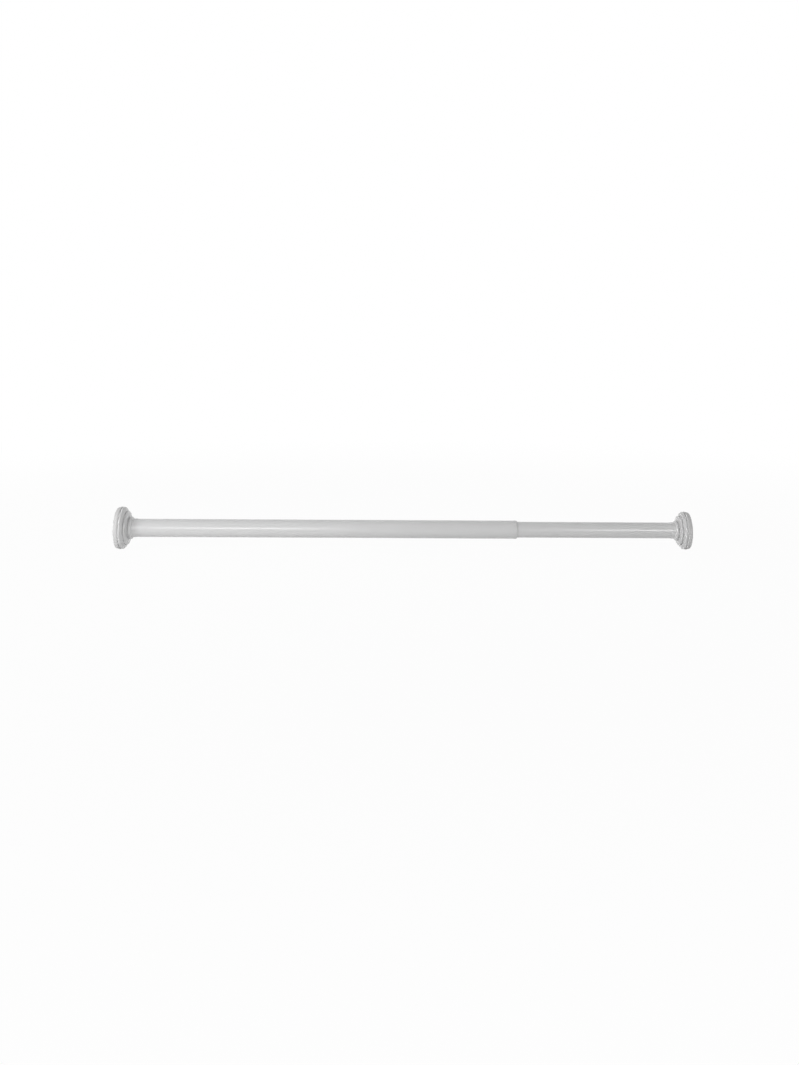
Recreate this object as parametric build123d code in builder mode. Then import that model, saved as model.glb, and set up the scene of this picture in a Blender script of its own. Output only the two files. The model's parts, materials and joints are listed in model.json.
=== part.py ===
from build123d import *
import os
from math import cos, radians, sin, tan

# A spring-loaded telescoping shower curtain rod with a twist lock, in millimetres.
# The origin is the centre of the left pad's wall face. X runs along the rod to the
# right wall and Z is up. The rod is modelled at a set length, with its lock free.

os.makedirs("parts", exist_ok=True)

# Overall sizes
overall_length = 812.0
outer_tube_diameter = 25.4
outer_tube_wall = 0.8
outer_tube_length = 559.0
inner_tube_wall = 0.7
inner_tube_length = 500.0
left_cap_diameter = 59.4
right_cap_diameter = 52.8
left_cap_depth = 27.0
right_cap_depth = 25.0

# Clearances, each on a radius or on one side
telescoping_gap = 0.8
running_gap = 0.1
fit_gap = 0.05
key_gap = 0.15

# Wall pad: a rubber cup with a grip pattern, hooked over the foot's plate
pad_web = 2.5
pad_rim_height = 6.8
pad_rim_wall = 3.5
pad_hook = 1.6
pad_edge_round = 1.8
pad_wall_chamfer = 0.9
pad_flare = 1.2
pad_rim_land = 2.2
pad_stem_radius = 3.0
pad_barb = 1.2
grip_start = 9.0
grip_pitch = 6.0
grip_width = 2.0
grip_depth = 0.7

# Foot: a plate behind the pad and a hollow spigot in the tube
foot_plate = 2.5
foot_spigot_length = 20.0
foot_spigot_wall = 2.0
crush_rib_height = 0.7
crush_rib_width = 1.2
crush_rib_count = 6

# Cover: a thin moulding in three rounded steps, which narrow to a collar on the tube
cover_wall = 1.8
cover_rim_inset = 0.2
cover_inner_bevel = 3.6
cover_rib_count = 6
cover_rib_width = 1.4
step_back_round = 1.3
bell_edge_round = 1.6
bead_proud = 1.9
collar_lip = 0.5
bell_share = 0.64
bead_share = 0.195
ring_front_share = 0.277
bell_front_share = 0.505
bead_front_share = 0.723

# Mouth bush: a sleeve in the larger tube's mouth with a rounded lip outside
bush_length = 30.0
bush_lip_length = 4.2
bush_lip_proud = 0.2
bush_nose = 0.3

# Twist lock: a collet spread by a keyed cone nut on a bolt, turned by the plunger
bolt_diameter = 6.0
bolt_tail = 1.0
bolt_pitch = 1.0
bolt_head_width = 10.0
bolt_head_height = 4.0
washer_thickness = 1.0
thrust_washer_inset = 1.6
stop_washer_diameter = 13.0
stop_washer_thickness = 1.5
collet_length = 24.0
collet_base = 4.0
collet_slot_count = 4
collet_slot_width = 2.6
collet_mouth_wall = 1.2
collet_edge = 0.6
wedge_angle = 12.0
wedge_spare = 0.1
cone_overhang = 3.0
cone_length = 15.0
cone_stop_gap = 0.3
cone_key_inset = 0.8

# Plunger, spring and seat in the smaller tube
press_travel = 25.0
plunger_inside = 14.0
plunger_spare = 2.0
plunger_pocket = 6.0
plunger_edge = 0.8
spring_length = 70.0
spring_wire = 1.8
spring_turns = 7
spring_gap = 0.3
seat_length = 14.0
seat_bore = 9.0

# Dimples punched into the smaller tube: two key the plunger, three hold the seat
dimple_radius = 1.6
dimple_depth = 1.2
key_dimple_inset = 5.0
key_dimple_count = 2
seat_dimple_count = 3

# Sizes that follow
outer_radius = outer_tube_diameter / 2
outer_bore = outer_radius - outer_tube_wall
inner_radius = outer_bore - telescoping_gap
inner_bore = inner_radius - inner_tube_wall
foot_front = pad_web + foot_plate
outer_mouth = foot_front + outer_tube_length
inner_end = overall_length - foot_front
inner_start = inner_end - inner_tube_length
bolt_radius = bolt_diameter / 2
plunger_radius = inner_bore - running_gap
collet_radius = outer_bore - running_gap

# Stations of the lock along X, from the smaller tube's hidden end to the left
plunger_end = inner_start + plunger_inside
plunger_start = inner_start - press_travel - plunger_spare
bolt_head_start = plunger_end - plunger_pocket
collet_end = plunger_start - washer_thickness - running_gap
collet_start = collet_end - collet_length
cone_start = collet_start - cone_overhang
stop_washer_start = cone_start - cone_stop_gap - stop_washer_thickness
bolt_start = stop_washer_start - bolt_tail
seat_start = plunger_end + spring_length

# Planes at the walls: local X points into the rod and local Y is up
left_wall = Plane.XZ
right_wall = Plane(origin=(overall_length, 0, 0), x_dir=(-1, 0, 0), z_dir=(0, 1, 0))


def across(x):
    """The plane across the rod at a station, facing right."""
    return Plane(origin=(x, 0, 0), x_dir=(0, 1, 0), z_dir=(1, 0, 0))


def across_from(wall, distance):
    """The plane across the rod at a distance from a wall, facing away from the wall."""
    return Plane(origin=wall.from_local_coords((distance, 0, 0)), x_dir=(0, 1, 0), z_dir=wall.x_dir)


def finish(piece, name):
    """Labels a finished piece and writes it."""
    piece.part.label = name
    export_step(piece.part, f"parts/{name}.step")


def make_wall_pad(wall, rim_radius):
    """A rubber cup with ring grooves on its wall face and a barbed stem for the foot."""
    plate_radius = rim_radius - pad_rim_wall
    last_groove = plate_radius - pad_hook
    grooves = int((last_groove - grip_start) / grip_pitch) + 1
    stem_end = foot_front + fit_gap
    with BuildPart() as pad:
        with BuildSketch(wall) as section:
            with BuildLine():
                Polyline(
                    (0, 0),
                    (0, rim_radius - pad_flare),
                    (pad_rim_height - pad_rim_land, rim_radius),
                    (pad_rim_height, rim_radius),
                    (pad_rim_height, plate_radius - pad_hook),
                    (foot_front, plate_radius - pad_hook),
                    (foot_front, plate_radius),
                    (pad_web, plate_radius),
                    (pad_web, pad_stem_radius),
                    (stem_end, pad_stem_radius),
                    (stem_end, pad_stem_radius + pad_barb),
                    (stem_end + 2 * pad_barb, pad_stem_radius - pad_barb / 2),
                    (stem_end + 2 * pad_barb, 0),
                    close=True,
                )
            make_face()
            rim_corners = section.vertices().sort_by(Axis.Y)[-3:].sort_by(Axis.X)
            chamfer(rim_corners[0], pad_wall_chamfer)
            fillet(rim_corners[-1], pad_edge_round)
            for n in range(grooves):
                radius = grip_start + n * grip_pitch
                with BuildLine():
                    Polyline(
                        (0, radius - grip_width / 2),
                        (grip_depth, radius),
                        (0, radius + grip_width / 2),
                        close=True,
                    )
                make_face(mode=Mode.SUBTRACT)
        revolve(axis=Axis.X)
    return pad


def make_foot(wall, rim_radius, tube_bore):
    """A plate that the pad hooks over, with a ribbed hollow spigot pressed in the tube."""
    plate_radius = rim_radius - pad_rim_wall - fit_gap
    spigot_radius = tube_bore - fit_gap - crush_rib_height
    spigot_end = foot_front + foot_spigot_length
    with BuildPart() as foot:
        with BuildSketch(wall):
            with BuildLine():
                Polyline(
                    (pad_web, pad_stem_radius + fit_gap),
                    (pad_web, plate_radius),
                    (foot_front, plate_radius),
                    (foot_front, spigot_radius),
                    (spigot_end, spigot_radius),
                    (spigot_end, spigot_radius - foot_spigot_wall),
                    (foot_front, spigot_radius - foot_spigot_wall),
                    (foot_front, pad_stem_radius + fit_gap),
                    close=True,
                )
            make_face()
        revolve(axis=Axis.X)
        with BuildSketch(across_from(wall, foot_front)):
            with PolarLocations(spigot_radius, crush_rib_count):
                Rectangle(2 * crush_rib_height, crush_rib_width)
        extrude(amount=foot_spigot_length - crush_rib_height)
    return foot


def make_cover(wall, rim_radius, tube_radius, depth):
    """The stepped cover: ring, bell and bead, hollow behind, with ribs to its sleeve."""
    shoulder = rim_radius - tube_radius
    length = depth - pad_rim_height
    bore = tube_radius + fit_gap
    sleeve_radius = bore + cover_wall

    # The radius of each step, the station where it ends and the floor of the groove before it
    ring_radius = rim_radius - cover_rim_inset
    bell_radius = tube_radius + bell_share * shoulder
    bead_radius = tube_radius + bead_share * shoulder
    ring_front = pad_rim_height + ring_front_share * length
    bell_front = pad_rim_height + bell_front_share * length
    bead_front = pad_rim_height + bead_front_share * length
    bell_floor = bell_radius - step_back_round
    bead_floor = bead_radius - bead_proud
    collar_radius = bore + collar_lip

    with BuildPart() as hollow:
        with BuildSketch(wall) as inside:
            bell_inside = bell_floor - cover_wall
            with BuildLine():
                Polyline(
                    (foot_front, sleeve_radius),
                    (foot_front, ring_radius - cover_wall),
                    (ring_front - cover_wall, ring_radius - cover_wall),
                    (ring_front - cover_wall, bell_inside),
                    (bell_front - cover_wall, bell_inside),
                    (bell_front - cover_wall, sleeve_radius),
                    close=True,
                )
            make_face()
            bell_room = min(bell_inside - sleeve_radius, bell_front - ring_front) - fit_gap
            for front, radius in ((ring_front, ring_radius), (bell_front, bell_radius)):
                corner = inside.vertices().sort_by_distance((front, radius))[0]
                chamfer(corner, min(cover_inner_bevel, bell_room))
        revolve(axis=Axis.X)
        with BuildSketch(across_from(wall, pad_rim_height)):
            with PolarLocations(rim_radius / 2, cover_rib_count):
                Rectangle(rim_radius, cover_rib_width)
        extrude(amount=depth, mode=Mode.SUBTRACT)

    # Each step rises in a round from its groove: the ring falls in a long round, the bell
    # in a cone and the bead in a short round to the collar
    ring_crown = pad_rim_height + step_back_round
    bell_crown = ring_front + step_back_round
    bead_crown = (bell_front + bead_front) / 2
    with BuildPart() as cover:
        with BuildSketch(wall):
            with BuildLine():
                ring_back = (ring_crown, ring_radius - step_back_round)
                CenterArc(ring_back, step_back_round, 180, -90)
                ring_reach = ring_front - ring_crown
                ring_drop = ring_radius - bell_floor
                EllipticalCenterArc((ring_crown, bell_floor), ring_reach, ring_drop, 90, arc_size=-90)
                CenterArc((bell_crown, bell_floor), step_back_round, 180, -90)
                bell_edge = CenterArc((bell_crown, bell_radius - bell_edge_round), bell_edge_round, 90, -45)
                Line(bell_edge @ 1, (bell_front, bead_floor))
                bead_reach = bead_crown - bell_front
                EllipticalCenterArc((bead_crown, bead_floor), bead_reach, bead_proud, 180, arc_size=-90)
                bead_drop = bead_radius - collar_radius
                EllipticalCenterArc((bead_crown, collar_radius), bead_reach, bead_drop, 90, arc_size=-90)
                Polyline(
                    (bead_front, collar_radius),
                    (depth, bore + collar_lip / 2),
                    (depth, bore),
                    (foot_front, bore),
                    (foot_front, sleeve_radius),
                    (pad_rim_height, sleeve_radius),
                    (pad_rim_height, ring_radius - step_back_round),
                )
            make_face()
        revolve(axis=Axis.X)
        add(hollow.part, mode=Mode.SUBTRACT)
    return cover


# Tubes
with BuildPart() as outer_tube:
    with BuildSketch(across(foot_front)):
        Circle(outer_radius)
        Circle(outer_bore, mode=Mode.SUBTRACT)
    extrude(amount=outer_tube_length)
finish(outer_tube, "outer_tube")

# Each dimple is a round pip: the tube's wall, pushed in by a punch
dimple_floor = inner_radius - dimple_depth
dimple_reach = dimple_floor - inner_tube_wall
pip_radius = dimple_radius + inner_tube_wall
key_dimple_x = inner_start + key_dimple_inset
seat_dimple_x = seat_start + seat_length / 2
dimple_rows = [(key_dimple_x, key_dimple_count), (seat_dimple_x, seat_dimple_count)]


def dimple_planes(x, count):
    """Planes on the rod's axis that face out through each dimple of a row."""
    facings = [Vector(0, 1, 0).rotate(Axis.X, 360 * n / count) for n in range(count)]
    return [Plane(origin=(x, 0, 0), x_dir=(1, 0, 0), z_dir=facing) for facing in facings]


with BuildPart() as inner_tube:
    with BuildSketch(across(inner_start)):
        Circle(inner_radius)
        Circle(inner_bore, mode=Mode.SUBTRACT)
    extrude(amount=inner_tube_length)
    for x, count in dimple_rows:
        for plane in dimple_planes(x, count):
            with BuildSketch(plane.offset(dimple_reach)):
                Circle(pip_radius)
            extrude(amount=(inner_bore + inner_radius) / 2 - dimple_reach)
            with BuildSketch(plane.offset(dimple_floor)):
                Circle(dimple_radius)
            extrude(amount=inner_radius - dimple_floor, mode=Mode.SUBTRACT)
finish(inner_tube, "inner_tube")

# Mouth bush
bush_bore = inner_radius + running_gap
lip_radius = outer_radius + bush_lip_proud
with BuildPart() as mouth_bush:
    with BuildSketch(left_wall):
        with BuildLine():
            EllipticalCenterArc(
                (outer_mouth + bush_nose, bush_bore + bush_nose),
                bush_lip_length - bush_nose,
                lip_radius - bush_bore - bush_nose,
                90,
                arc_size=-90,
            )
            Polyline(
                (outer_mouth + bush_lip_length, bush_bore + bush_nose),
                (outer_mouth + bush_lip_length, bush_bore),
                (outer_mouth - bush_length, bush_bore),
                (outer_mouth - bush_length, outer_bore),
                (outer_mouth, outer_bore),
                (outer_mouth, lip_radius),
                (outer_mouth + bush_nose, lip_radius),
            )
        make_face()
    revolve(axis=Axis.X)
finish(mouth_bush, "mouth_bush")

# Caps
ends = {
    "left": (left_wall, left_cap_diameter / 2, outer_radius, outer_bore, left_cap_depth),
    "right": (right_wall, right_cap_diameter / 2, inner_radius, inner_bore, right_cap_depth),
}
for side, (wall, rim_radius, tube_radius, tube_bore, depth) in ends.items():
    finish(make_wall_pad(wall, rim_radius), f"{side}_wall_pad")
    finish(make_foot(wall, rim_radius, tube_bore), f"{side}_foot")
    finish(make_cover(wall, rim_radius, tube_radius, depth), f"{side}_cover")

# Lock collet: a base with the bolt's hole, and fingers that open in a taper to the left
taper = tan(radians(wedge_angle))
mouth_radius = collet_radius - collet_mouth_wall
taper_length = cone_length + bolt_pitch
throat_radius = mouth_radius - taper_length * taper
bolt_hole = bolt_radius + key_gap
with BuildPart() as lock_collet:
    with BuildSketch(left_wall) as section:
        with BuildLine():
            Polyline(
                (collet_start, collet_radius),
                (collet_end, collet_radius),
                (collet_end, bolt_hole),
                (collet_end - collet_base, bolt_hole),
                (collet_end - collet_base, throat_radius),
                (collet_start + taper_length, throat_radius),
                (collet_start, mouth_radius),
                close=True,
            )
        make_face()
        chamfer(section.vertices().group_by(Axis.Y)[-1], collet_edge)
    revolve(axis=Axis.X)
    with BuildSketch(across(collet_start)):
        with PolarLocations(collet_radius, collet_slot_count):
            Rectangle(2 * (collet_radius - bolt_radius), collet_slot_width)
    extrude(amount=collet_length - collet_base, mode=Mode.SUBTRACT)
finish(lock_collet, "lock_collet")

# Lock cone: drawn in by one turn of the bolt, its taper comes to bear on the fingers
wedge_gap = bolt_pitch * sin(radians(wedge_angle)) + wedge_spare
cone_mouth = mouth_radius - wedge_gap / cos(radians(wedge_angle))
cone_wide = cone_mouth + cone_overhang * taper
cone_narrow = cone_wide - cone_length * taper
with BuildPart() as lock_cone:
    with BuildSketch(left_wall):
        with BuildLine():
            Polyline(
                (cone_start, bolt_radius + fit_gap),
                (cone_start, cone_wide),
                (cone_start + cone_length, cone_narrow),
                (cone_start + cone_length, bolt_radius + fit_gap),
                close=True,
            )
        make_face()
    revolve(axis=Axis.X)
    key_reach = collet_radius - cone_key_inset
    key_height = key_reach - cone_narrow / 2
    with BuildSketch(across(cone_start)):
        with PolarLocations(key_reach - key_height / 2, collet_slot_count):
            Rectangle(key_height, collet_slot_width - 2 * key_gap)
    extrude(amount=cone_length)
finish(lock_cone, "lock_cone")

# Bolt and washers
with BuildPart() as lock_bolt:
    with BuildSketch(across(bolt_head_start)):
        RegularPolygon(bolt_head_width / 2, 6, major_radius=False)
    extrude(amount=bolt_head_height)
    with BuildSketch(across(bolt_head_start)):
        Circle(bolt_radius)
    extrude(amount=bolt_start - bolt_head_start)
    chamfer(lock_bolt.faces().sort_by(Axis.X)[0].edges(), bolt_pitch / 2)
finish(lock_bolt, "lock_bolt")

with BuildPart() as thrust_washer:
    with BuildSketch(across(plunger_start - washer_thickness)):
        Circle(plunger_radius - thrust_washer_inset)
        Circle(bolt_radius + fit_gap, mode=Mode.SUBTRACT)
    extrude(amount=washer_thickness)
finish(thrust_washer, "thrust_washer")

with BuildPart() as stop_washer:
    with BuildSketch(across(stop_washer_start)):
        Circle(stop_washer_diameter / 2)
        Circle(bolt_radius + fit_gap, mode=Mode.SUBTRACT)
    extrude(amount=stop_washer_thickness)
finish(stop_washer, "stop_washer")

# Plunger: two long grooves take the tube's dimples over the whole travel
groove_half_width = pip_radius + key_gap
groove_end = key_dimple_x + groove_half_width
groove_length = press_travel + 2 * groove_half_width
groove_floor = dimple_reach - key_gap
groove_depth = plunger_radius - groove_floor
with BuildPart() as plunger:
    with BuildSketch(across(plunger_start)):
        Circle(plunger_radius)
        Circle(bolt_radius + fit_gap, mode=Mode.SUBTRACT)
    extrude(amount=plunger_end - plunger_start)
    rims = plunger.edges().filter_by(GeomType.CIRCLE).group_by(SortBy.RADIUS)[-1]
    chamfer(rims, plunger_edge)
    with BuildSketch(across(plunger_end)):
        RegularPolygon(bolt_head_width / 2 + fit_gap, 6, major_radius=False)
    extrude(amount=-plunger_pocket, mode=Mode.SUBTRACT)
    with BuildSketch(across(groove_end)):
        with PolarLocations(plunger_radius, key_dimple_count):
            Rectangle(2 * groove_depth, 2 * groove_half_width)
    extrude(amount=-groove_length, mode=Mode.SUBTRACT)
finish(plunger, "plunger")

# Spring, its wire drawn with six flats, and its seat
coil_radius = plunger_radius - spring_gap - spring_wire / 2
coil_start = plunger_end + spring_wire / 2 + fit_gap
coil_length = spring_length - spring_wire - 2 * fit_gap
with BuildPart() as tension_spring:
    with BuildLine() as coil:
        Helix(coil_length / spring_turns, coil_length, coil_radius, (coil_start, 0, 0), (1, 0, 0))
    with BuildSketch(Plane(origin=coil.line @ 0, z_dir=coil.line % 0)):
        RegularPolygon(spring_wire / 2, 6)
    sweep(is_frenet=True)
finish(tension_spring, "tension_spring")

with BuildPart() as spring_seat:
    with BuildSketch(across(seat_start)):
        Circle(plunger_radius)
        Circle(seat_bore / 2, mode=Mode.SUBTRACT)
    extrude(amount=seat_length)
    with BuildSketch(left_wall):
        with Locations((seat_dimple_x, plunger_radius)):
            Rectangle(2 * groove_half_width, 2 * groove_depth)
    revolve(axis=Axis.X, mode=Mode.SUBTRACT)
finish(spring_seat, "spring_seat")
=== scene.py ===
import json
from math import atan, ceil, cos, pi, radians, sin, tan

import bpy
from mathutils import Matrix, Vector


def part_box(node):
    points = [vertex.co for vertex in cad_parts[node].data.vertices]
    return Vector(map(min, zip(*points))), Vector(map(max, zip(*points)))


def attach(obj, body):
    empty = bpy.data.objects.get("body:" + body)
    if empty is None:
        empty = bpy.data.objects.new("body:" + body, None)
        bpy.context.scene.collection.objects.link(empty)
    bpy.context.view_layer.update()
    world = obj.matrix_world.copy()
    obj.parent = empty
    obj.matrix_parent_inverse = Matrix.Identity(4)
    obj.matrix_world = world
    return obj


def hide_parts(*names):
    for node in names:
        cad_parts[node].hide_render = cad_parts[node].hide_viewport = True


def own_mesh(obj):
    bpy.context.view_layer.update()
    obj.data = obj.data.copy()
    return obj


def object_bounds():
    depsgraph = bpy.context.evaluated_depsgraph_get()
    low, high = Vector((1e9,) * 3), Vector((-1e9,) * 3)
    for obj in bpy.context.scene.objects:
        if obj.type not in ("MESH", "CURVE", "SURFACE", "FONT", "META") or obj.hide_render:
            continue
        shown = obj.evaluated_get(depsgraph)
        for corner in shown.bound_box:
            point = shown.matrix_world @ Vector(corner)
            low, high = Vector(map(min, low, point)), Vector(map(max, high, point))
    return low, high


# The looks of a white telescoping shower curtain rod: enamelled tubes, stepped gloss caps
# and rubber wall pads, with the twist lock and its spring inside. X is the rod's axis.

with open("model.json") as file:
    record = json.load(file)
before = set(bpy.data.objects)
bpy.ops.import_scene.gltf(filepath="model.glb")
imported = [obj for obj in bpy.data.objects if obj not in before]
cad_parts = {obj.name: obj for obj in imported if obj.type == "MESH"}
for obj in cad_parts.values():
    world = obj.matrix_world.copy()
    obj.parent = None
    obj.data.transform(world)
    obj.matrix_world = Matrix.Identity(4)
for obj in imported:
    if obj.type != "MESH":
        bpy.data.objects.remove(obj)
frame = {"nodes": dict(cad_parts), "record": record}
nodes = frame["nodes"]
cad_low, cad_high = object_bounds()

MM = 0.001
ROUND_STEPS = 128
WIRE_STEPS = 16
THREAD_STEPS = 48
SMOOTH_ANGLE = radians(35)
DOUBLES = 0.001 * MM

# Stations and sizes from the frame
rod_length = cad_high.x - cad_low.x
outer_start, outer_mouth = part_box("outer_tube")[0].x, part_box("outer_tube")[1].x
outer_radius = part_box("outer_tube")[1].z
inner_start, inner_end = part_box("inner_tube")[0].x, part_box("inner_tube")[1].x
inner_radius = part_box("inner_tube")[1].z
bush_start, bush_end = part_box("mouth_bush")[0].x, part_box("mouth_bush")[1].x
lip_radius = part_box("mouth_bush")[1].z
seat_start, seat_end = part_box("spring_seat")[0].x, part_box("spring_seat")[1].x
bolt_start, bolt_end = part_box("lock_bolt")[0].x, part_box("lock_bolt")[1].x
spring_low, spring_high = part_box("tension_spring")

# Walls, gaps and edges
OUTER_WALL = 0.8 * MM
INNER_WALL = 0.7 * MM
FIT_GAP = 0.05 * MM
RUNNING_GAP = 0.1 * MM
TUBE_EDGE = 0.2 * MM

# Material slot of each new piece, by the piece's name
modelled_slots = {}


def deselect():
    bpy.ops.object.select_all(action="DESELECT")


def dress(piece, name, body, node, slot):
    """Names a finished piece and says what it rides on and which node it stands for."""
    piece.name = piece.data.name = name
    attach(piece, body)
    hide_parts(node)
    modelled_slots[name] = slot


def arc(centre, reach, start, end, steps):
    """Stations on an ellipse in the plane of a profile, from one angle to another in degrees."""
    turns = [radians(start + (end - start) * n / steps) for n in range(steps + 1)]
    return [(centre[0] + reach[0] * cos(a), centre[1] + reach[1] * sin(a)) for a in turns]


def without_repeats(profile):
    """The profile with stations that lie on the one before them left out."""
    kept = profile[:1]
    for station in profile[1:]:
        if max(abs(station[0] - kept[-1][0]), abs(station[1] - kept[-1][1])) > DOUBLES:
            kept.append(station)
    return kept


def turned(profile, closed=True):
    """A piece turned round the rod's axis: a circle is drawn out from station to station.
    Each station is its place along X and its radius. An open profile ends in flat faces."""
    deselect()
    (x, radius), *stations = profile + profile[:1] if closed else profile
    bpy.ops.mesh.primitive_circle_add(
        vertices=ROUND_STEPS, radius=radius, location=(x, 0, 0), rotation=(0, pi / 2, 0)
    )
    piece = bpy.context.object
    bpy.ops.object.transform_apply(location=True, rotation=True, scale=True)
    bpy.ops.object.mode_set(mode="EDIT")
    bpy.ops.mesh.select_all(action="SELECT")
    if not closed:
        bpy.ops.mesh.edge_face_add()
    for next_x, next_radius in stations:
        bpy.ops.mesh.extrude_region_move(TRANSFORM_OT_translate={"value": (next_x - x, 0, 0)})
        spread = next_radius / radius
        bpy.ops.transform.resize(value=(1, spread, spread), center_override=(next_x, 0, 0))
        x, radius = next_x, next_radius
    bpy.ops.mesh.select_all(action="SELECT")
    bpy.ops.mesh.remove_doubles(threshold=DOUBLES)
    bpy.ops.mesh.normals_make_consistent(inside=False)
    bpy.ops.object.mode_set(mode="OBJECT")
    bpy.ops.object.shade_smooth_by_angle(angle=SMOOTH_ANGLE)
    return piece


def tube_profile(start, end, radius, wall, extra=()):
    """A tube's section, with the burr taken off its ends and extra stations on both walls."""
    bore = radius - wall
    edge = TUBE_EDGE
    return [
        (start + edge, radius),
        *((x, radius) for x in extra),
        (end - edge, radius),
        (end, radius - edge),
        (end, bore + edge),
        (end - edge, bore),
        *((x, bore) for x in reversed(extra)),
        (start + edge, bore),
        (start, bore + edge),
        (start, radius - edge),
    ]


# The larger tube
dress(
    turned(tube_profile(outer_start, outer_mouth, outer_radius, OUTER_WALL)),
    "outer_tube_enamelled",
    "larger_tube",
    "outer_tube",
    "tube_enamel",
)

# The smaller tube, with its punched dimples: two key the plunger and three hold the seat
DIMPLE_RADIUS = 1.6 * MM
DIMPLE_DEPTH = 1.2 * MM
KEY_DIMPLE_INSET = 5 * MM
DIMPLE_GRID = 0.25 * MM
DIMPLE_FLOOR_SHARE = 0.55
DIMPLE_RINGS = 6
dimple_rows = [(inner_start + KEY_DIMPLE_INSET, 2), ((seat_start + seat_end) / 2, 3)]
grid_reach = DIMPLE_RADIUS + DIMPLE_GRID
grid_cells = ceil(2 * grid_reach / DIMPLE_GRID)
dimple_stations = [
    x - grid_reach + 2 * grid_reach * n / grid_cells
    for x, count in dimple_rows
    for n in range(grid_cells + 1)
]
inner_tube = turned(tube_profile(inner_start, inner_end, inner_radius, INNER_WALL, dimple_stations))


def punch(tube, x, facing):
    """Pushes one round dimple into the wall, ring by ring, each ring a little narrower."""
    floor_radius = DIMPLE_FLOOR_SHARE * DIMPLE_RADIUS
    middle = Vector((x, 0, 0)) + facing * inner_radius

    def inside(place, reach):
        apart = place - middle
        return apart.dot(facing) > -inner_radius / 2 and (apart - facing * apart.dot(facing)).length < reach

    for face in tube.data.polygons:
        face.select = inside(face.center, grid_reach)
    bpy.ops.object.mode_set(mode="EDIT")
    bpy.ops.mesh.subdivide(number_cuts=1, smoothness=0)
    bpy.ops.mesh.select_all(action="DESELECT")
    for ring in range(DIMPLE_RINGS):
        reach = DIMPLE_RADIUS - (DIMPLE_RADIUS - floor_radius) * ring / (DIMPLE_RINGS - 1)
        bpy.ops.object.mode_set(mode="OBJECT")
        for vertex in tube.data.vertices:
            vertex.select = inside(vertex.co, reach)
        bpy.ops.object.mode_set(mode="EDIT")
        bpy.ops.transform.translate(value=facing * -DIMPLE_DEPTH / DIMPLE_RINGS)
    bpy.ops.mesh.select_all(action="DESELECT")
    bpy.ops.object.mode_set(mode="OBJECT")


bpy.context.tool_settings.mesh_select_mode = (True, False, False)
for x, count in dimple_rows:
    for n in range(count):
        turn = 2 * pi * n / count
        punch(inner_tube, x, Vector((0, cos(turn), sin(turn))))
dress(inner_tube, "inner_tube_enamelled", "smaller_tube", "inner_tube", "tube_enamel")

# Mouth bush: a sleeve in the larger tube with a rounded lip outside
BUSH_NOSE = 0.3 * MM
bush_bore = inner_radius + RUNNING_GAP
bush_sleeve = outer_radius - OUTER_WALL
lip = arc(
    (outer_mouth + BUSH_NOSE, bush_bore + BUSH_NOSE),
    (bush_end - outer_mouth - BUSH_NOSE, lip_radius - bush_bore - BUSH_NOSE),
    90,
    0,
    14,
)
bush_profile = [
    (outer_mouth, lip_radius),
    *lip,
    (bush_end, bush_bore),
    (bush_start, bush_bore),
    (bush_start, bush_sleeve),
    (outer_mouth, bush_sleeve),
]
dress(turned(bush_profile), "mouth_bush_moulded", "larger_tube", "mouth_bush", "cap_plastic")

# Caps: sizes of the pad, in the order of its section
PAD_WEB = 2.5 * MM
FOOT_FRONT = 5.0 * MM
PAD_RIM = 6.8 * MM
PAD_RIM_WALL = 3.5 * MM
PAD_RIM_LAND = 2.2 * MM
PAD_HOOK = 1.6 * MM
PAD_EDGE = 1.8 * MM
PAD_BACK = 0.9 * MM
PAD_FLARE = 1.2 * MM
STEM_RADIUS = 3.0 * MM
STEM_BARB = 1.2 * MM
GRIP_RADII = [9 * MM, 15 * MM, 21 * MM]
GRIP_HALF = 1.0 * MM
GRIP_DEPTH = 0.7 * MM

# Cover: its steps, as shares of the way from the tube to the rim and from the pad to the collar
COVER_WALL = 1.8 * MM
COVER_INSET = 0.2 * MM
COVER_BEVEL = 3.6 * MM
STEP_BACK = 1.6 * MM
BELL_EDGE = 1.6 * MM
BELL_EDGE_TURN = 45
BEAD_PROUD = 2.3 * MM
COLLAR_LIP = 0.5 * MM
BELL_SHARE = 0.64
BEAD_SHARE = 0.195
RING_FRONT_SHARE = 0.277
BELL_FRONT_SHARE = 0.505
BEAD_FRONT_SHARE = 0.723


def pad_profile(rim_radius):
    """A rubber cup's section from the middle of its wall face, round its rim, to its stem."""
    plate_radius = rim_radius - PAD_RIM_WALL
    stem_end = FOOT_FRONT + FIT_GAP
    profile = [(0, STEM_RADIUS)]
    for radius in GRIP_RADII:
        if radius <= plate_radius - PAD_HOOK:
            profile += arc((0, radius), (GRIP_DEPTH, GRIP_HALF), -90, 90, 8)
    wall_radius = rim_radius - PAD_FLARE
    slope = atan(PAD_FLARE / (PAD_RIM - PAD_RIM_LAND))
    back = (PAD_BACK, wall_radius - PAD_BACK * (1 - sin(slope)) / cos(slope))
    profile += arc(back, (PAD_BACK, PAD_BACK), 180, 90 + slope / radians(1), 6)
    profile.append((PAD_RIM - PAD_RIM_LAND, rim_radius))
    profile += arc((PAD_RIM - PAD_EDGE, rim_radius - PAD_EDGE), (PAD_EDGE, PAD_EDGE), 90, 0, 8)
    profile += [
        (PAD_RIM, plate_radius - PAD_HOOK),
        (FOOT_FRONT, plate_radius - PAD_HOOK),
        (FOOT_FRONT, plate_radius),
        (PAD_WEB, plate_radius),
        (PAD_WEB, STEM_RADIUS),
        (stem_end, STEM_RADIUS),
        (stem_end, STEM_RADIUS + STEM_BARB),
        (stem_end + 2 * STEM_BARB, STEM_RADIUS - STEM_BARB / 2),
    ]
    return profile


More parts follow.
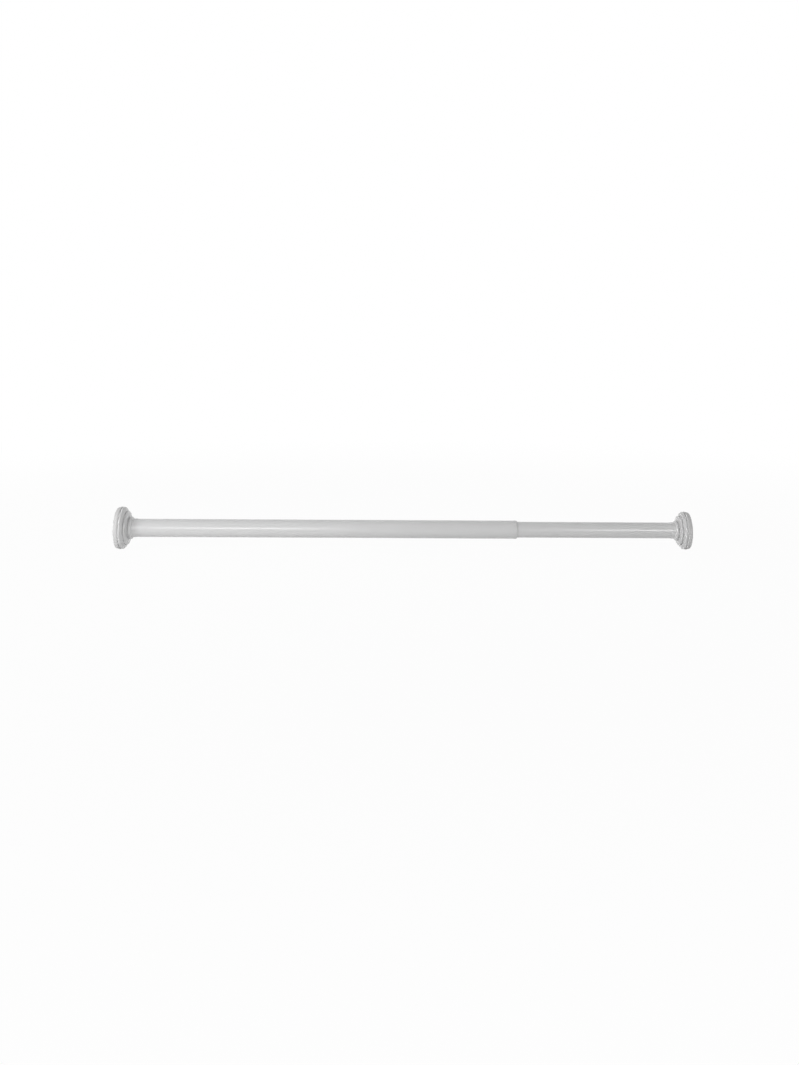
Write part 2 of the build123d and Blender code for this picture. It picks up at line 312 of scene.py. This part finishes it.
def cover_profile(rim_radius, tube_radius, depth):
    """A stepped cover's section: its sleeve and hollow, then ring, bell, bead and collar."""
    shoulder = rim_radius - tube_radius
    length = depth - PAD_RIM
    bore = tube_radius + FIT_GAP
    sleeve = bore + COVER_WALL
    ring = rim_radius - COVER_INSET
    bell = tube_radius + BELL_SHARE * shoulder
    bead = tube_radius + BEAD_SHARE * shoulder
    ring_front = PAD_RIM + RING_FRONT_SHARE * length
    bell_front = PAD_RIM + BELL_FRONT_SHARE * length
    bead_front = PAD_RIM + BEAD_FRONT_SHARE * length
    bead_crown = (bell_front + bead_front) / 2
    collar = bore + COLLAR_LIP
    bell_foot = bell - STEP_BACK
    bead_foot = bead - BEAD_PROUD
    ring_depth = ring_front - PAD_RIM - STEP_BACK
    bell_inside = bell_foot - COVER_WALL
    ring_inside = ring - COVER_WALL
    ring_bevel = min(COVER_BEVEL, ring_front - COVER_WALL - PAD_RIM)
    return [
        (FOOT_FRONT, bore),
        (FOOT_FRONT, sleeve),
        (bell_front - COVER_WALL, sleeve),
        (bell_front - COVER_WALL, bell_inside - COVER_BEVEL),
        (bell_front - COVER_WALL - COVER_BEVEL, bell_inside),
        (ring_front - COVER_WALL, bell_inside),
        (ring_front - COVER_WALL, ring_inside - ring_bevel),
        (ring_front - COVER_WALL - ring_bevel, ring_inside),
        (PAD_RIM, ring_inside),
        *arc((PAD_RIM + STEP_BACK, ring - STEP_BACK), (STEP_BACK, STEP_BACK), 180, 90, 8),
        *arc((PAD_RIM + STEP_BACK, bell_foot), (ring_depth, ring - bell_foot), 90, 0, 16),
        *arc((ring_front + STEP_BACK, bell_foot), (STEP_BACK, STEP_BACK), 180, 90, 8),
        *arc((ring_front + STEP_BACK, bell - BELL_EDGE), (BELL_EDGE, BELL_EDGE), 90, BELL_EDGE_TURN, 6),
        (bell_front, bead_foot),
        *arc((bead_crown, bead_foot), (bead_crown - bell_front, BEAD_PROUD), 180, 90, 8),
        *arc((bead_crown, collar), (bead_front - bead_crown, bead - collar), 90, 0, 8),
        (depth, bore + COLLAR_LIP / 2),
        (depth, bore),
    ]


def at_wall(side, profile):
    """A section drawn from a wall, placed on the left wall or mirrored to the right one."""
    if side == "right":
        profile = [(rod_length - x, radius) for x, radius in profile]
    return without_repeats(profile)


WALLS = (("left", "larger_tube", outer_radius), ("right", "smaller_tube", inner_radius))
for side, body, tube_radius in WALLS:
    rim_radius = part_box(f"{side}_wall_pad")[1].z
    cover_low, cover_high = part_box(f"{side}_cover")
    depth = cover_high.x if side == "left" else rod_length - cover_low.x
    pad = turned(at_wall(side, pad_profile(rim_radius)), closed=False)
    dress(pad, f"{side}_pad_rubber", body, f"{side}_wall_pad", "pad_rubber")
    cover = turned(at_wall(side, cover_profile(rim_radius, tube_radius, depth)))
    dress(cover, f"{side}_cover_moulded", body, f"{side}_cover", "cap_plastic")


def drawn_round(piece, angle, rise, repeats, steps):
    """Draws a piece's section round the rod's axis while it moves along it, and closes its ends."""
    screw = piece.modifiers.new("round", "SCREW")
    screw.axis = "X"
    screw.angle = angle
    screw.screw_offset = rise
    screw.iterations = repeats
    screw.steps = screw.render_steps = steps
    screw.use_merge_vertices = True
    screw.merge_threshold = DOUBLES
    bpy.ops.object.modifier_apply(modifier=screw.name)
    bpy.ops.object.mode_set(mode="EDIT")
    bpy.ops.mesh.select_all(action="SELECT")
    bpy.ops.mesh.remove_doubles(threshold=DOUBLES)
    bpy.ops.mesh.fill_holes(sides=0)
    bpy.ops.mesh.select_all(action="SELECT")
    bpy.ops.mesh.normals_make_consistent(inside=False)
    bpy.ops.object.mode_set(mode="OBJECT")
    bpy.ops.object.shade_smooth_by_angle(angle=SMOOTH_ANGLE)


# Spring: round wire, coiled from the plunger to the seat.
SPRING_WIRE = 1.8 * MM
SPRING_TURNS = 7
spring_length = spring_high.x - spring_low.x
coil_radius = spring_high.z - SPRING_WIRE / 2
coil_length = spring_length - SPRING_WIRE
deselect()
bpy.ops.mesh.primitive_circle_add(
    vertices=WIRE_STEPS,
    radius=SPRING_WIRE / 2,
    location=(spring_low.x + SPRING_WIRE / 2, 0, coil_radius),
    rotation=(pi / 2, 0, 0),
)
spring = bpy.context.object
bpy.ops.object.transform_apply(location=True, rotation=True, scale=True)
drawn_round(spring, 2 * pi, coil_length / SPRING_TURNS, SPRING_TURNS, THREAD_STEPS)
dress(spring, "tension_spring_wire", "smaller_tube", "tension_spring", "spring_steel")
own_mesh(spring)

# Lock bolt: a hexagon head with its corners rounded off, and a shank with a rolled thread
BOLT_RADIUS = 3.0 * MM
BOLT_PITCH = 1.0 * MM
HEAD_WIDTH = 10.0 * MM
HEAD_HEIGHT = 4.0 * MM
HEAD_EDGE = 0.35 * MM
THREAD_RIDGE = 0.5 * MM
THREAD_LEAD = 0.8 * MM
SHANK_RADIUS = BOLT_RADIUS - 1.2 * THREAD_RIDGE
deselect()
bpy.ops.mesh.primitive_cylinder_add(
    vertices=6,
    radius=HEAD_WIDTH / 2 / cos(pi / 6),
    depth=HEAD_HEIGHT,
    location=(bolt_end - HEAD_HEIGHT / 2, 0, 0),
    rotation=(0, pi / 2, 0),
)
head = bpy.context.object
bpy.ops.object.transform_apply(location=True, rotation=True, scale=True)
corners = head.modifiers.new("corners", "BEVEL")
corners.width = HEAD_EDGE
corners.segments = 3
bpy.ops.object.modifier_apply(modifier=corners.name)
bpy.ops.object.shade_smooth_by_angle(angle=SMOOTH_ANGLE)

shank_end = bolt_end - HEAD_HEIGHT
shank_profile = [
    (bolt_start, SHANK_RADIUS - THREAD_RIDGE),
    (bolt_start + THREAD_RIDGE, SHANK_RADIUS),
    (shank_end, SHANK_RADIUS),
]
shank = turned(shank_profile, closed=False)
thread_start = bolt_start + THREAD_LEAD
deselect()
bpy.ops.mesh.primitive_circle_add(
    vertices=3,
    radius=THREAD_RIDGE,
    location=(thread_start, 0, BOLT_RADIUS - THREAD_RIDGE),
    rotation=(pi / 2, 0, 0),
)
thread = bpy.context.object
bpy.ops.object.transform_apply(location=True, rotation=True, scale=True)
thread_turns = int((shank_end - thread_start) / BOLT_PITCH)
drawn_round(thread, 2 * pi, BOLT_PITCH, thread_turns, THREAD_STEPS)
deselect()
for piece in (shank, thread, head):
    piece.select_set(True)
bpy.context.view_layer.objects.active = head
bpy.ops.object.join()
dress(head, "lock_bolt_threaded", "plunger", "lock_bolt", "bolt_steel")


class Socket:
    """A value in a node tree. Arithmetic on it is written as Python and adds Math nodes."""

    def __init__(self, tree, output):
        self.tree = tree
        self.output = output

    def __add__(self, other):
        return self.tree.maths("ADD", self, other)

    __radd__ = __add__

    def __mul__(self, other):
        return self.tree.maths("MULTIPLY", self, other)

    __rmul__ = __mul__

    def __sub__(self, other):
        return self.tree.maths("SUBTRACT", self, other)

    def __rsub__(self, other):
        return self.tree.maths("SUBTRACT", other, self)


class Tree:
    """The node tree of a material or of the world."""

    def __init__(self, owner):
        owner.use_nodes = True
        self.nodes = owner.node_tree.nodes
        self.links = owner.node_tree.links

    def fill(self, node, values):
        """Links each value that is a socket, and sets each that is a constant."""
        for name, value in values.items():
            if isinstance(value, Socket):
                self.links.new(value.output, node.inputs[name])
            else:
                node.inputs[name].default_value = value

    def node(self, kind, settings, values, output=0):
        """A new node with its settings, then its sockets' values or links."""
        node = self.nodes.new(kind)
        for name, value in settings.items():
            setattr(node, name, value)
        self.fill(node, values)
        return Socket(self, node.outputs[output])

    def maths(self, operation, *terms):
        return self.node("ShaderNodeMath", {"operation": operation}, dict(enumerate(terms)))

    def seen(self):
        """One for rays that show the background: the camera's, and those in gloss and glass."""
        rays = self.nodes.new("ShaderNodeLightPath").outputs
        camera, glossy, glass = (
            Socket(self, rays[name]) for name in ("Is Camera Ray", "Is Glossy Ray", "Is Transmission Ray")
        )
        return self.maths("MAXIMUM", self.maths("MAXIMUM", camera, glossy), glass)


class Finish(Tree):
    """A material with its shader, read in the object's own coordinates."""

    def __init__(self, name, **constants):
        self.material = bpy.data.materials.new(name)
        super().__init__(self.material)
        self.shader = self.nodes["Principled BSDF"]
        self.place = self.node("ShaderNodeTexCoord", {}, {}, "Object")
        self.fill(self.shader, {key.replace("_", " "): value for key, value in constants.items()})

    def grain(self, size, detail=2.0, stretch=(1, 1, 1)):
        """Noise from 0 to 1 with patches of a size, stretched along the axes."""
        scale = tuple(1 / share for share in stretch)
        spot = self.node("ShaderNodeMapping", {}, {"Vector": self.place, "Scale": scale})
        return self.node("ShaderNodeTexNoise", {}, {"Vector": spot, "Scale": 1 / size, "Detail": detail})

    def shades(self, factor, dark, light):
        """A colour between two greys, or two colours, by a factor."""
        return self.node("ShaderNodeMix", {"data_type": "RGBA"}, {0: factor, 6: dark, 7: light}, 2)

    def bump(self, height, distance, strength=1.0):
        values = {"Height": height, "Distance": distance, "Strength": strength}
        return self.node("ShaderNodeBump", {}, values)

    def coat(self, colour, roughness, normal):
        """What changes over the surface."""
        self.fill(self.shader, {"Base Color": colour, "Roughness": roughness, "Normal": normal})
        return self.material


def grey(value, warmth=0.0):
    return (value + warmth, value, value - warmth, 1)


def gloss_white_enamel():
    """Baked enamel on the tubes: faint clouding, and orange peel that only the gloss shows."""
    finish = Finish("gloss_white_enamel", IOR=1.5)
    clouding = finish.grain(60 * MM, 3.0, (3, 1, 1))
    peel = finish.grain(2.2 * MM)
    return finish.coat(
        finish.shades(clouding, grey(0.765), grey(0.795)),
        0.15 + 0.08 * clouding,
        finish.bump(peel, 0.01 * MM),
    )


def gloss_white_plastic():
    """Moulded gloss plastic of the covers, feet and bush: slight flow marks and a fine skin."""
    finish = Finish("gloss_white_plastic", IOR=1.5)
    flow = finish.grain(14 * MM, 3.0, (1, 2, 2))
    skin = finish.grain(0.9 * MM)
    return finish.coat(
        finish.shades(flow, grey(0.765), grey(0.79)),
        0.22 + 0.08 * flow,
        finish.bump(skin, 0.002 * MM),
    )


def matt_white_rubber():
    """Soft rubber of the pads: matt, with a fine grain and a dusting of tone."""
    finish = Finish("matt_white_rubber", IOR=1.45)
    tone = finish.grain(5 * MM, 4.0)
    grain = finish.grain(0.35 * MM, 3.0)
    return finish.coat(
        finish.shades(tone, grey(0.72, 0.002), grey(0.77, 0.001)),
        0.62 + 0.16 * tone,
        finish.bump(grain, 0.03 * MM, 0.6),
    )


def plain_nylon():
    """Unpainted nylon of the lock: a slightly mottled, waxy white."""
    finish = Finish("plain_nylon", IOR=1.53, Subsurface_Weight=0.15, Subsurface_Scale=1 * MM)
    mottle = finish.grain(3 * MM, 4.0)
    return finish.coat(
        finish.shades(mottle, grey(0.66, 0.012), grey(0.74, 0.008)),
        0.42 + 0.14 * mottle,
        finish.bump(mottle, 0.02 * MM, 0.5),
    )


def bright_zinc():
    """Zinc plate on the bolt and washers: a pale metal with fine crystals."""
    finish = Finish("bright_zinc", Metallic=1.0)
    cells = {"Vector": finish.place, "Scale": 1 / (0.5 * MM)}
    crystals = finish.node("ShaderNodeTexVoronoi", {}, cells, "Color")
    value = finish.node("ShaderNodeSeparateColor", {}, {"Color": crystals})
    return finish.coat(
        finish.shades(value, grey(0.56, -0.008), grey(0.68, -0.004)),
        0.26 + 0.14 * value,
        finish.bump(finish.grain(0.3 * MM), 0.01 * MM, 0.5),
    )


def drawn_spring_wire():
    """Oiled spring wire: a darker steel with patches left by the die."""
    finish = Finish("drawn_spring_wire", Metallic=1.0)
    patches = finish.grain(4 * MM, 4.0)
    lines = finish.grain(0.12 * MM, 2.0, (1, 12, 12))
    return finish.coat(
        finish.shades(patches, grey(0.36), grey(0.5)),
        0.3 + 0.16 * patches,
        finish.bump(lines, 0.01 * MM, 0.6),
    )


FINISHES = {
    "tube_enamel": gloss_white_enamel(),
    "cap_plastic": gloss_white_plastic(),
    "pad_rubber": matt_white_rubber(),
    "lock_plastic": plain_nylon(),
    "bolt_steel": bright_zinc(),
    "spring_steel": drawn_spring_wire(),
}


def paint(piece, slot):
    piece.data.materials.clear()
    piece.data.materials.append(FINISHES[slot])


for subpart in frame["record"]["subparts"]:
    paint(nodes[subpart["node"]], subpart["material_slot"])
for name, slot in modelled_slots.items():
    paint(bpy.data.objects[name], slot)

# Camera: level and above the rod, with the frame lowered to it. Places in the frame are in pixels.
FRAME_WIDTH = 799
FRAME_HEIGHT = 1065
FOCAL_PX = 1018
CAMERA_DISTANCE = 1.45
CAMERA_ABOVE = 0.28
LEFT_WALL_PX = 118.0
ROD_PX = 529.1
ROD_SLOPE = radians(0.285)
SENSOR = 36

rod_drop_px = CAMERA_ABOVE / CAMERA_DISTANCE * FOCAL_PX
roll_px = rod_drop_px * tan(ROD_SLOPE)
left_wall_to_centre_px = FRAME_WIDTH / 2 - LEFT_WALL_PX - roll_px
bpy.ops.object.camera_add(
    location=(left_wall_to_centre_px * CAMERA_DISTANCE / FOCAL_PX, -CAMERA_DISTANCE, CAMERA_ABOVE),
    rotation=(pi / 2, -ROD_SLOPE, 0),
)
camera = bpy.context.object
camera.data.sensor_width = SENSOR
camera.data.lens = FOCAL_PX / FRAME_HEIGHT * SENSOR
camera.data.shift_y = -(rod_drop_px - (ROD_PX - FRAME_HEIGHT / 2)) / FRAME_HEIGHT
bpy.context.scene.camera = camera

# Floor: it touches both caps' rims, keeps a soft shadow and fades to white away from the rod
FLOOR_SIZE = 12
FLOOR_ALBEDO = 0.8
WHITE_SHARE = 0.96
FADE_START = 0.5
FADE_END = 1.6
left_low, right_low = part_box("left_wall_pad")[0].z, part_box("right_wall_pad")[0].z
deselect()
bpy.ops.mesh.primitive_plane_add(
    size=FLOOR_SIZE,
    location=(rod_length / 2, 0, (left_low + right_low) / 2),
    rotation=(0, -atan((right_low - left_low) / rod_length), 0),
)
floor = bpy.context.object
floor.name = "floor"
pale = Finish("pale_floor", Roughness=0.9)
pale.fill(pale.shader, {"Base Color": grey(FLOOR_ALBEDO)})
away = pale.node("ShaderNodeVectorMath", {"operation": "LENGTH"}, {0: pale.place}, "Value")
fade = {"Value": away, "From Min": FADE_START, "From Max": FADE_END, "To Min": WHITE_SHARE, "To Max": 1.0}
share = pale.node("ShaderNodeMapRange", {"interpolation_type": "SMOOTHSTEP"}, fade)
white = pale.node("ShaderNodeEmission", {}, {"Color": grey(1), "Strength": 1.0})
surface = Socket(pale, pale.shader.outputs[0])
mixed = pale.node("ShaderNodeMixShader", {}, {0: pale.seen() * share, 1: surface, 2: white})
pale.fill(pale.nodes["Material Output"], {"Surface": mixed})
floor.data.materials.append(pale.material)

# World: white where it is seen, and a dimmer room that lights the rod, more from behind it,
# because the softboxes are in front
FRONT_ROOM = 0.17
BACK_ROOM = 0.55
ROOM_BLEND = 0.4
studio = bpy.data.worlds.new("studio")
bpy.context.scene.world = studio
room = Tree(studio)
direction = room.node("ShaderNodeTexCoord", {}, {}, "Generated")
depth = room.node("ShaderNodeSeparateXYZ", {}, {"Vector": direction}, "Y")
walls = {
    "Value": depth,
    "From Min": -ROOM_BLEND,
    "From Max": ROOM_BLEND,
    "To Min": FRONT_ROOM,
    "To Max": BACK_ROOM,
}
light = room.node("ShaderNodeMapRange", {"interpolation_type": "SMOOTHSTEP"}, walls)
room.fill(room.nodes["Background"], {"Color": grey(1), "Strength": light + (1 - light) * room.seen()})


def softbox(name, place, aim, size, spread, watts):
    """A rectangular lamp that faces the rod's axis at a place along it. The spread is in degrees."""
    lamp = bpy.data.lights.new(name, "AREA")
    lamp.shape = "RECTANGLE"
    lamp.size, lamp.size_y = size
    lamp.energy = watts
    lamp.spread = radians(spread)
    holder = bpy.data.objects.new(name, lamp)
    bpy.context.scene.collection.objects.link(holder)
    holder.location = place
    holder.rotation_euler = (Vector((aim, 0, 0)) - Vector(place)).to_track_quat("-Z", "Y").to_euler()
    holder.visible_camera = False


# Softboxes: one over each tube, one across at each cap's steps, and a wide fill from the left
softbox("left_softbox", (-0.027, -1.341, 0.25), 0.1, (0.46, 0.4), 42, watts=0.225)
softbox("right_softbox", (1.235, -1.341, 0.25), 0.85, (0.73, 0.4), 32, watts=0.24)
softbox("left_cap_softbox", (1.9, -1.2, 0.35), 0, (0.5, 0.5), 14, watts=0.085)
softbox("right_cap_softbox", (-1.1, -1.2, 0.35), rod_length, (0.5, 0.5), 14, watts=0.055)
softbox("left_fill", (-1.1, -0.9, 0.5), 0.1, (0.9, 0.9), 60, watts=2.0)

bpy.context.scene.view_settings.view_transform = "Standard"
